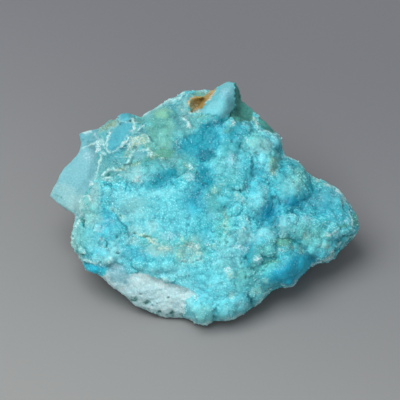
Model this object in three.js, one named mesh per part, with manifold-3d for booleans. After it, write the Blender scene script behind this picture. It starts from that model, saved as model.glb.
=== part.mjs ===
// Hemimorphite: a loose hand specimen of blue botryoidal crust, one solid with the broken rock it grew on.
// Millimetres, +Z up. The origin is on the resting plane, under the middle of the specimen's box.
//
// The shape is set out in the frame of its show face, a broad lumpy face that leans back from upright:
// u runs to the right, v up the face and w out of it. The vertices of a ball are carried onto the
// specimen: the front of the ball becomes the show face, its waist the broken sides all round, and its
// back the underside and the steep back wall. The underside is then cut flat where the specimen rests.
import * as THREE from "three";
import { mergeVertices } from "three/addons/utils/BufferGeometryUtils.js";
import { ImprovedNoise } from "three/addons/math/ImprovedNoise.js";
import Module from "manifold-3d";

const { clamp, degToRad, lerp, smoothstep } = THREE.MathUtils;

// Driving dimensions
const FACE_LEAN = degToRad(42); // how far the show face leans back from upright
const FACE_CENTRE_HEIGHT = 18.9; // of the face frame's origin above the resting plane
const FACE_FALL = 0.356; // how much w falls for each mm up the face
const CROWN_RISE = 7; // how far the middle of the face bulges beyond its edge
const BACK_WALL = 31.5; // the back wall's distance behind the face frame's origin
const BACK_ROUND = 5; // how far the edge between the back wall and the underside is worn down
const REST_CUT = 1.2; // the depth of rough underside that the resting plane cuts away
const BALL_DETAIL = 21; // subdivisions of the ball: 20 * (detail + 1) ** 2 triangles

// Where the ball's latitudes go, as angles from the middle of its front
const FACE_EDGE = degToRad(105);
const SIDE_FOOT = degToRad(128);
const BACK_SHARE = 0.93; // the underside's outline, as a share of the show face's
const EVENING_ROUNDS = 60; // passes that even out the triangles of the show face

// The show face's outline, anticlockwise from the right wing's tip: [u, v]
const OUTLINE = [
  [40, -5.9], [39.2, -2.8], [37, -0.1], [35.4, 2.6], [33.2, 4.2], [30, 6.1], [26.8, 7.2], [25.2, 9.3],
  [23.3, 10.7], [20.6, 12.1], [19.9, 13.9], [20, 15.7], [18.6, 17.9], [16.2, 20.4], [14.2, 22.3],
  [11.6, 24.9], [9.2, 26.9], [9.1, 29.4], [8.5, 30.9], [6.4, 31.9], [4.2, 30.8], [2.6, 29.5],
  [-2.9, 29.1], [-5.1, 29.3], [-7.2, 27.4], [-9.9, 26.3], [-12.6, 24.6], [-15.6, 23], [-16.3, 22],
  [-17.7, 22], [-18.8, 22.9], [-20.7, 23.5], [-22.2, 22.8], [-22.5, 21.7], [-24.8, 21.4], [-28.3, 18.6],
  [-32.2, 18.9], [-32.8, 18], [-31.7, 14.2], [-33.4, 12.1], [-35.8, 9.6], [-37.7, 6.9], [-39.1, 3.9],
  [-40.4, 2.3], [-39.5, 1], [-35.3, -2], [-33.1, -3.1], [-33.4, -4.4], [-34.4, -9.3], [-33.9, -11.4],
  [-32.6, -13.6], [-30.7, -15.5], [-30.7, -17], [-29.4, -17.9], [-27.2, -17.9], [-23.4, -21.7],
  [-20.7, -23.3], [-19.1, -25.5], [-13.2, -28.2], [-10.5, -29.2], [-4.5, -29.2], [-2.4, -30.6],
  [0.3, -31.1], [3, -29.8], [4.6, -30.2], [7.3, -29.5], [11.7, -26.8], [14.4, -24.9], [16.5, -22.8],
  [19.2, -21.2], [22.2, -21.4], [23.3, -20.1], [25.7, -17.9], [28.1, -15.5], [30, -14.9], [32.4, -15.3],
  [33.5, -13.3], [35.9, -11.2], [38.6, -8.5],
];

// The crust's lobes: [u, v, half length, half width, turn in degrees, rise]
const LOBES = [
  // the big knot right of the middle, and the lobes that ring it
  [6.2, 5.6, 6.4, 6.6, 0, 4.6], [13.6, 0.7, 3.6, 3.7, 0, 4.2], [22, 5.2, 5.6, 5.8, 0, 5],
  [13.6, 15.6, 3.8, 3, 0, 3.2], [17.4, 15.8, 2.7, 2.7, 0, 2.8], [16.4, 11, 3.1, 3.6, 0, 3.4],
  [10.6, 11.4, 2.8, 3.2, 0, 2.8], [2.6, 9.8, 3.2, 3.2, 0, 2.4], [5.4, 12.6, 4, 2.8, 0, 2],
  [1.6, 1, 3.6, 3.6, 0, 1.6],
  // the two lobes that stand alone left of the middle
  [-15.3, 7.8, 5.4, 3.3, 6, 3.2], [-11.8, 8.6, 3, 2.6, 0, 3.2], [-4.4, 5.2, 3.4, 3, 0, 2],
  // the upper edge, from the horn to the right shoulder
  [3.8, 25.6, 7.6, 3.5, 52, 5.2], [2.2, 22, 3, 2.4, 30, 3.2], [7.2, 20.3, 2.2, 2, 0, 2.2],
  [6.3, 16.6, 3.3, 3.3, 0, 1.8], [9.6, 18.8, 2.6, 2.2, 0, 1.8], [-4.4, 25.6, 2.2, 3, -20, 2],
  [-10.5, 22.6, 3.4, 3, 0, 2.2], [-7.6, 19.2, 3.6, 3, 20, 1.4], [-10.5, 15, 2.8, 3.6, 0, 1.6],
  [-15.2, 20.6, 2.6, 2, 20, 1.6],
  // the broken knots of the upper left
  [-21.8, 17.1, 4.8, 2.5, 52, 2.2], [-20.4, 21.9, 2.3, 1.9, 0, 2.6], [-16.9, 16.1, 3.2, 2.3, 0, 2],
  [-15.9, 12.1, 3, 1.5, 0, 1], [-26.2, 17.2, 2.6, 2.2, 30, 1.4], [-22, 10.8, 4.6, 2, 10, 1.2],
  // the lower left, a broad pitted swell with smaller ones round it
  [-24.2, -5.5, 5.4, 5, 0, 2.6], [-30.2, -9.6, 3.8, 4.6, 0, 2.4], [-26.1, -13.6, 4.6, 2.8, 0, 2.2],
  [-29.6, -1.7, 2.8, 2.6, 0, 1.6], [-26.4, 2.4, 2.8, 3.2, 0, 1.4], [-21.6, 4.6, 3, 3.6, 0, 1.2],
  // the open middle, low swells under fine crystals
  [-16.4, 0.4, 6, 5.4, 0, 1.3], [-8, 0, 6, 5, 0, 1.6], [-12.1, -8.2, 6.4, 4.2, 0, 1],
  [-3.5, -5.4, 5, 5, 0, 1.4], [-12.1, -14.6, 7.4, 3.2, 0, 1.8], [0.9, -16, 6, 4.2, 0, 2],
  [6.3, -9.6, 5, 6, 0, 2], [9.8, -3.6, 4.2, 4.6, 0, 1.8], [5.4, -20, 5, 4, 0, 2.4],
  [-18.4, -11.6, 3.4, 2.6, 0, 0.8],
  // the lower right flank: two knots and the smooth blue swell
  [15.7, -9.8, 3.8, 4, 0, 3.6], [12.4, -13.2, 2.6, 3.6, 0, 2.6], [21.6, -15.6, 6.4, 4.4, 40, 3.4],
  [17.4, -17.9, 3.6, 3.8, 0, 2.8], [20.8, -10.6, 3, 1.9, 0, 2.4], [21.2, -20.4, 2.6, 1.8, 0, 1.8],
  // the lobes of the lower edge
  [-0.9, -27.2, 3.9, 3.2, 0, 3.2], [4.6, -27.1, 3.2, 2.9, 0, 2.8], [8.6, -25.4, 3.3, 3.1, 0, 2.8],
  [12.9, -23.6, 2.9, 2.8, 0, 2.6], [9.5, -21, 3.4, 3, 0, 2.2], [-5, -25.4, 2.2, 2.6, 0, 1.8],
  // the right wing
  [32.4, 0.8, 5.2, 4.2, -30, 1.8], [25.1, -5.8, 5, 3.6, 0, 2.4], [33.2, -6.2, 5.6, 4.2, 0, 1.8],
  [28.4, -10.6, 4.8, 3.2, 0, 2], [21.4, -4.9, 3, 2.8, 0, 2.4], [30.6, -13.6, 3, 1.9, 20, 1.4],
  [28, 4, 3, 3, 0, 1.2],
];

// Hollows between the lobes: [u, v, half length, half width, turn in degrees, depth]
const HOLLOWS = [
  [-1.4, 14.4, 6, 4.2, 30, 1.8], [-0.3, 11.8, 2.2, 2.2, 0, 1.2], // the deep blue basin under the upper edge
  [17.7, -1.4, 1.8, 4.6, -12, 3], [18.2, -6.4, 1.6, 3.4, 10, 1.8], // the cleft between the knot and the wing
  [0.2, 6.8, 1.4, 3.6, 10, 1.4], [-11.4, 4.6, 4.4, 1.4, 25, 1.4], // under the two standing lobes
  [11.6, 6.4, 1.3, 4.2, -20, 2], [17.6, 7.2, 1.4, 4, -25, 1.8], [13.6, -4.6, 4.4, 1.4, -8, 2.2],
  [-18.6, 13.6, 2.6, 1.1, 40, 1.2], [23.9, -11.4, 5.4, 0.9, -29, 1.8], [15.8, -14.4, 2.6, 1, 20, 1.4],
];

// A ring of broken crust with a sunken middle: [u, v, radius, rim's half width, rise]
const BROKEN_RING = [-4.2, -12.3, 2.9, 1.1, 0.9];

// Broken faces and steps, where the crust has come away: the part of the face inside the border is brought
// to a plane that passes w at the point at, rising by slope for each mm along u and v.
const BREAKS = [
  { // the smooth pale plate of the left end
    border: [[-45, 1.5], [-35, 16], [-28.4, 15.2], [-27.8, 10.6], [-28.4, 7.7], [-29.6, 4.6], [-31, 2.8],
      [-32.2, 0.3], [-32.8, -2.1], [-32.4, -6], [-38, -6]],
    at: [-34, 6], w: -3.4, slope: [0.16, -0.42], edge: 0.9,
  },
  { // the small ledge behind the plate
    border: [[-36, 22], [-26, 22], [-27.6, 17], [-29, 15], [-34, 14.4]],
    at: [-30, 17], w: -7.2, slope: [0, -0.2], edge: 0.9,
  },
  { // the chalky break along the lower left edge
    border: [[-27.6, -15.6], [-24.6, -16.2], [-19.6, -17.7], [-14.3, -18.2], [-9.9, -19.5], [-6.7, -20.3],
      [-3.7, -22.2], [-4.5, -24.9], [-5, -34], [-24, -34], [-36, -20]],
    at: [-14, -23], w: 8.8, slope: [0.1, 0.1], edge: 1,
  },
  { // the dark slope behind the horn
    border: [[8.1, 34], [8, 25.8], [7.4, 22.8], [8.9, 22], [10.8, 20.8], [13, 20.2], [19, 20], [15, 28]],
    at: [11, 23], w: -11.6, slope: [-0.1, -0.5], edge: 0.8,
  },
  { // the brown pocket beside the horn
    border: [[-3.9, 23.2], [-3.3, 27], [0.4, 27.3], [2.3, 29.4], [2.5, 28.6], [0.2, 26], [-2.2, 23.1]],
    at: [-1, 25.8], w: -10.2, slope: [0.1, -0.4], edge: 0.6,
  },
];

const noise = new ImprovedNoise();

// Two octaves of noise, about -1 to 1, over a distance in mm; shift picks another part of the pattern.
function roughness(x, y, z, distance, shift = 0) {
  const at = [x, y, z].map((value) => value / distance + shift);
  return noise.noise(...at) + 0.5 * noise.noise(...at.map((value) => value * 2.03 + 7.1));
}

// The outline's distance from the face's centre along a direction, an angle anticlockwise from +u.
function outlineRadius(angle) {
  const [du, dv] = [Math.cos(angle), Math.sin(angle)];
  for (let i = 0; i < OUTLINE.length; i++) {
    const [au, av] = OUTLINE[i];
    const [bu, bv] = OUTLINE[(i + 1) % OUTLINE.length];
    const fromA = du * av - dv * au;
    const fromB = du * bv - dv * bu;
    if (fromA <= 0 && fromB > 0) {
      const share = fromA / (fromA - fromB);
      return Math.hypot(lerp(au, bu, share), lerp(av, bv, share));
    }
  }
  throw new Error("the outline doesn't close round the face's centre");
}

// How far inside a closed border a point is, in mm: negative outside it.
function depthInside(border, u, v) {
  let nearest = Infinity;
  let inside = false;
  border.forEach(([au, av], i) => {
    const [bu, bv] = border[(i + 1) % border.length];
    const [du, dv] = [bu - au, bv - av];
    const share = clamp(((u - au) * du + (v - av) * dv) / (du * du + dv * dv), 0, 1);
    nearest = Math.min(nearest, Math.hypot(u - au - share * du, v - av - share * dv));
    if (av > v !== bv > v && u < au + (du * (v - av)) / dv) inside = !inside;
  });
  return inside ? nearest : -nearest;
}

// A lobe's or a hollow's height at a point: a round cap over a turned ellipse.
function capHeight([cu, cv, halfLength, halfWidth, turn, rise], u, v) {
  const [c, s] = [Math.cos(degToRad(turn)), Math.sin(degToRad(turn))];
  const along = ((u - cu) * c + (v - cv) * s) / halfLength;
  const across = ((v - cv) * c - (u - cu) * s) / halfWidth;
  return rise * Math.max(0, 1 - along * along - across * across) ** 0.7;
}

// The height of the show face, w, at a point whose distance from the centre is a share of the outline's.
function faceHeight(u, v, share) {
  const wobble = 0.7 * roughness(u, v, 0, 5);
  const swell = Math.max(...LOBES.map((lobe) => capHeight(lobe, u + wobble, v - wobble)));
  const sink = Math.max(...HOLLOWS.map((hollow) => capHeight(hollow, u, v)));
  const [ringU, ringV, ringRadius, ringHalfWidth, ringRise] = BROKEN_RING;
  const fromRing = (Math.hypot(u - ringU, v - ringV) - ringRadius) / ringHalfWidth;
  const ring = ringRise * Math.exp(-fromRing * fromRing);
  const wing = 3.2 * smoothstep(u + 0.2 * v, 17, 26);
  let w = -FACE_FALL * v + CROWN_RISE * (1 - share ** 2.4) - wing + swell - sink + ring;
  for (const { border, at, w: level, slope, edge } of BREAKS) {
    const plane = level + slope[0] * (u - at[0]) + slope[1] * (v - at[1]);
    w = lerp(w, plane, smoothstep(depthInside(border, u, v), -0.2 * edge, edge));
  }
  return w + 0.35 * roughness(u, v, 3, 2.6);
}

// How far the face turns down at its very edge: well rounded along the lower right, sharp elsewhere.
function edgeDrop(angle, share) {
  const lowerRight = Math.max(0, Math.cos(angle - degToRad(-58)));
  return (1.2 + 2.6 * lowerRight) * share ** 14;
}

// From the face's frame to the part's.
function toPart(u, v, w) {
  const [c, s] = [Math.cos(FACE_LEAN), Math.sin(FACE_LEAN)];
  return new THREE.Vector3(u, v * s - w * c, FACE_CENTRE_HEIGHT + v * c + w * s);
}

// w where the line along w through (u, v) meets a height above the resting plane, or a distance back.
const wAtHeight = (v, z) => (z - FACE_CENTRE_HEIGHT - v * Math.cos(FACE_LEAN)) / Math.sin(FACE_LEAN);
const wAtBack = (v, y) => (v * Math.sin(FACE_LEAN) - y) / Math.cos(FACE_LEAN);

// The show face's edge in one direction: its radius, its w, and how thick the specimen is just behind it.
function edgeAt(angle) {
  const radius = outlineRadius(angle);
  const [u, v] = [radius * Math.cos(angle), radius * Math.sin(angle)];
  const w = faceHeight(u, v, 1) - edgeDrop(angle, 1);
  const thickness = 4.5 + 1.5 * roughness(u, v, 9, 14) + 3 * Math.max(0, Math.sin(angle));
  return { radius, w, thickness, height: toPart(u, v, w).z };
}

// The w of the underside and the back wall, at a share of the outline in one direction.
function backHeight(angle, share, edge) {
  const radius = edge.radius * share;
  const [u, v] = [radius * Math.cos(angle), radius * Math.sin(angle)];
  const rough = 1.9 * roughness(u, v, 20, 12) + 0.9 * roughness(u, v, 30, 4.5);
  const ledges = 1.8 * Math.abs(roughness(u, v, 40, 9, 3));
  const foot = Math.max(1, edge.height - edge.thickness);
  const rise = clamp((share - 0.4) / (BACK_SHARE - 0.4), 0, 1) ** 1.5;
  const underside = wAtHeight(v, lerp(-REST_CUT, foot, rise) + rough * (0.3 + rise));
  const wall = wAtBack(v, BACK_WALL - 8 * (u / 30) ** 2 + 1.5 * rough - ledges);
  return (underside + wall + Math.hypot(underside - wall, BACK_ROUND)) / 2;
}

// A flat point of the ball's front, [u, v], before the triangles are evened out.
function flatPoint(point) {
  const angle = Math.atan2(point.y, point.x);
  const fromFront = Math.min(FACE_EDGE, Math.acos(clamp(point.z, -1, 1)));
  const radius = (outlineRadius(angle) * Math.sin(fromFront / 2)) / Math.sin(FACE_EDGE / 2);
  return [radius * Math.cos(angle), radius * Math.sin(angle)];
}

// The flat points of the ball's vertices, with those inside the outline moved to the middle of their
// neighbours again and again, which gives triangles of one size all over the face.
function evenFlatPoints(points, index) {
  const flat = points.map(flatPoint);
  const neighbours = points.map(() => new Set());
  for (let i = 0; i < index.length; i += 3) {
    const corners = [index[i], index[i + 1], index[i + 2]];
    for (const corner of corners) {
      corners.filter((other) => other !== corner).forEach((other) => neighbours[corner].add(other));
    }
  }
  const inside = points.map((point) => Math.acos(clamp(point.z, -1, 1)) < FACE_EDGE);
  for (let round = 0; round < EVENING_ROUNDS; round++) {
    flat.forEach((place, i) => {
      if (!inside[i]) return;
      const near = [...neighbours[i]].map((other) => flat[other]);
      place[0] = near.reduce((sum, other) => sum + other[0], 0) / near.length;
      place[1] = near.reduce((sum, other) => sum + other[1], 0) / near.length;
    });
  }
  return flat;
}

// Carries one point of the unit ball, whose front is +z, onto the specimen; flat is its place on the face.
function carry(point, flat) {
  const fromFront = Math.acos(clamp(point.z, -1, 1));
  if (fromFront < FACE_EDGE) {
    const [u, v] = flat;
    const angle = Math.atan2(v, u);
    const share = Math.min(1, Math.hypot(u, v) / outlineRadius(angle));
    return toPart(u, v, faceHeight(u, v, share) - edgeDrop(angle, share));
  }
  const angle = Math.atan2(point.y, point.x);
  const edge = edgeAt(angle);
  const place = (share, w) => {
    const radius = edge.radius * share;
    return toPart(radius * Math.cos(angle), radius * Math.sin(angle), w);
  };
  if (fromFront < SIDE_FOOT) {
    const down = (fromFront - FACE_EDGE) / (SIDE_FOOT - FACE_EDGE);
    const w = lerp(edge.w, backHeight(angle, BACK_SHARE, edge), down);
    const [u, v] = [edge.radius * Math.cos(angle), edge.radius * Math.sin(angle)];
    const rough = 0.035 * roughness(u, v, w, 4) * Math.sin(Math.PI * down);
    return place(lerp(1, BACK_SHARE, down ** 1.6) + rough, w);
  }
  const share = (BACK_SHARE * Math.sin((Math.PI - fromFront) / 2)) / Math.sin((Math.PI - SIDE_FOOT) / 2);
  return place(share, backHeight(angle, share, edge));
}

// The specimen before its underside is cut flat.
function roughGeometry() {
  const ball = new THREE.IcosahedronGeometry(1, BALL_DETAIL);
  ball.deleteAttribute("normal");
  ball.deleteAttribute("uv");
  const geometry = mergeVertices(ball, 1e-5);
  const positions = geometry.attributes.position;
  const points = Array.from({ length: positions.count }, (_, i) =>
    new THREE.Vector3().fromBufferAttribute(positions, i));
  const flat = evenFlatPoints(points, geometry.index.array);
  points.forEach((point, i) => positions.setXYZ(i, ...carry(point, flat[i])));
  return geometry;
}

const wasm = await Module();
wasm.setup();

function toSolid(geometry) {
  return new wasm.Manifold(new wasm.Mesh({
    numProp: 3,
    vertProperties: new Float32Array(geometry.attributes.position.array),
    triVerts: new Uint32Array(geometry.index.array),
  }));
}

function toGeometry(solid) {
  const { vertProperties, triVerts } = solid.getMesh();
  const geometry = new THREE.BufferGeometry();
  geometry.setAttribute("position", new THREE.BufferAttribute(vertProperties, 3));
  geometry.setIndex(new THREE.BufferAttribute(triVerts, 1));
  geometry.computeVertexNormals();
  return geometry;
}

// A block that takes away everything under the resting plane.
function blockBelow() {
  const block = new THREE.BoxGeometry(200, 200, 50).translate(0, 0, -25);
  block.deleteAttribute("normal");
  block.deleteAttribute("uv");
  return toSolid(mergeVertices(block));
}

function makeHemimorphite() {
  const geometry = toGeometry(toSolid(roughGeometry()).subtract(blockBelow()));
  geometry.computeBoundingBox();
  const middle = geometry.boundingBox.getCenter(new THREE.Vector3());
  geometry.translate(-middle.x, -middle.y, 0);
  const crust = new THREE.MeshStandardMaterial({ color: 0x64c3d0, roughness: 0.45, metalness: 0 });
  const mesh = new THREE.Mesh(geometry, crust);
  mesh.name = "hemimorphite";
  return mesh;
}

const specimen = new THREE.Group();
specimen.add(makeHemimorphite());

export default specimen;
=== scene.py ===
# Finish of the hemimorphite specimen: the lumps, pits and broken grain of its crust, a druse of tiny crystals
# on its show face, then the floor, the light and the camera. Shapes are worked in mm; Blender has metres.
import bpy
import math
import numpy as np
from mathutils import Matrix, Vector, kdtree, noise


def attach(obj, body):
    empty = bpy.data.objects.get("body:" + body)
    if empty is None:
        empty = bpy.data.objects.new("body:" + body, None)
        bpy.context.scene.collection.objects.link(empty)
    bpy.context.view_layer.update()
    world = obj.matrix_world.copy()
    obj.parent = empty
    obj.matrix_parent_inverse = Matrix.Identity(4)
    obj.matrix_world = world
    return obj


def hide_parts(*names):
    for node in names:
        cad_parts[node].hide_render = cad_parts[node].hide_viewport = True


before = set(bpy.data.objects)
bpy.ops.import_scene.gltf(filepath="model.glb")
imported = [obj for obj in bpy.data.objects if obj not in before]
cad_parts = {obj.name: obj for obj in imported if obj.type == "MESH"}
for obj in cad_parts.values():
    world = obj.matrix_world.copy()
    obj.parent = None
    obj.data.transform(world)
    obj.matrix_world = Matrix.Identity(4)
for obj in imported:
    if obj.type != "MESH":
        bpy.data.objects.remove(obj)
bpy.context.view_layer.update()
mm = 0.001

# The show face leans back: u runs to the right, v up the face and w out of it, in mm from the face's centre
face = {
    "lean": math.radians(42),
    "centre": (0.09, -1.58, 18.9),
}
lean = face["lean"]
faceAxes = np.array([[1, 0, 0], [0, math.sin(lean), math.cos(lean)], [0, -math.cos(lean), math.sin(lean)]])


def toFace(points):
    return (points - np.array(face["centre"])) @ faceAxes.T


def smoothStep(values, low, high):
    share = np.clip((values - low) / (high - low), 0, 1)
    return share * share * (3 - 2 * share)


# Shapes on a mesh held as arrays: points (n, 3) in mm and quads (m, 4)
def readArrays(mesh):
    points = np.empty(len(mesh.vertices) * 3, np.float32)
    mesh.vertices.foreach_get("co", points)
    quads = np.empty(len(mesh.loops), np.int32)
    mesh.loops.foreach_get("vertex_index", quads)
    return points.reshape(-1, 3).astype(float) / mm, quads.reshape(-1, 4)


def pointNormals(points, quads):
    a, b, c, d = (points[quads[:, i]] for i in range(4))
    flat = np.cross(c - a, d - b)
    normals = np.stack([
        sum(np.bincount(quads[:, i], flat[:, axis], len(points)) for i in range(4)) for axis in range(3)
    ], axis=1)
    return normals / np.maximum(np.linalg.norm(normals, axis=1, keepdims=True), 1e-12)


def meshEdges(quads):
    pairs = np.concatenate([quads[:, [i, (i + 1) % 4]] for i in range(4)])
    return np.unique(np.sort(pairs, axis=1), axis=0)


# Moves each value towards the mean of its neighbours, or away from it where share is negative
def relax(values, edges, shares):
    count = len(values)
    near = np.bincount(edges.ravel(), minlength=count)
    columns = values.reshape(count, -1).copy()
    for share in shares:
        mean = np.stack([
            (np.bincount(edges[:, 0], column[edges[:, 1]], count)
             + np.bincount(edges[:, 1], column[edges[:, 0]], count)) / near
            for column in columns.T
        ], axis=1)
        columns += share * (mean - columns)
    return columns.reshape(values.shape)


def noiseAt(points, size, shift=0.0, octaves=2):
    moved = points / size + shift
    return np.array([noise.fractal(Vector(spot), 1.0, 2.1, octaves) for spot in moved])


def spotTree(positions, spots):
    tree = kdtree.KDTree(len(spots))
    for position, spot in zip(positions, spots):
        tree.insert(position, spot)
    tree.balance()
    return tree


# How high round lumps stand at the spots given: a seed, a radius and a crown for each, and the highest counts
def lumpHeights(points, spots, seeds, radii, crowns):
    tree = spotTree(points[spots], spots)
    heights = np.zeros(len(points))
    for seed, radius, crown in zip(seeds, radii, crowns):
        for _, spot, away in tree.find_range(seed, radius):
            heights[spot] = max(heights[spot], crown * (1 - (away / radius) ** 2) ** 0.8)
    return heights


# Seeds about one spacing apart, picked at random from the spots given
def scatter(points, spots, spacing, rng):
    order = rng.permutation(spots)
    cells = np.floor(points[order] / spacing).astype(int)
    return order[np.unique(cells, axis=0, return_index=True)[1]]


# How far each place is from a path of [u, v], in mm, and how far inside a closed border or an oval (negative
# outside it)
def distanceTo(path, u, v):
    nearest = np.full(len(u), 1e9)
    for (au, av), (bu, bv) in zip(path, path[1:]):
        du, dv = bu - au, bv - av
        share = np.clip(((u - au) * du + (v - av) * dv) / (du * du + dv * dv), 0, 1)
        nearest = np.minimum(nearest, np.hypot(u - au - share * du, v - av - share * dv))
    return nearest


def depthInBorder(border, u, v):
    inside = np.zeros(len(u), bool)
    for (au, av), (bu, bv) in zip(border, border[1:] + border[:1]):
        if av != bv:
            inside ^= ((av > v) != (bv > v)) & (u < au + (bu - au) * (v - av) / (bv - av))
    nearest = distanceTo(border + border[:1], u, v)
    return np.where(inside, nearest, -nearest)


def depthInOval(oval, u, v):
    cu, cv, halfLength, halfWidth, *turn = oval
    angle = math.radians(turn[0] if turn else 0)
    c, s = math.cos(angle), math.sin(angle)
    along = ((u - cu) * c + (v - cv) * s) / halfLength
    across = ((v - cv) * c - (u - cu) * s) / halfWidth
    return (1 - np.hypot(along, across)) * min(halfLength, halfWidth)


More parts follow.
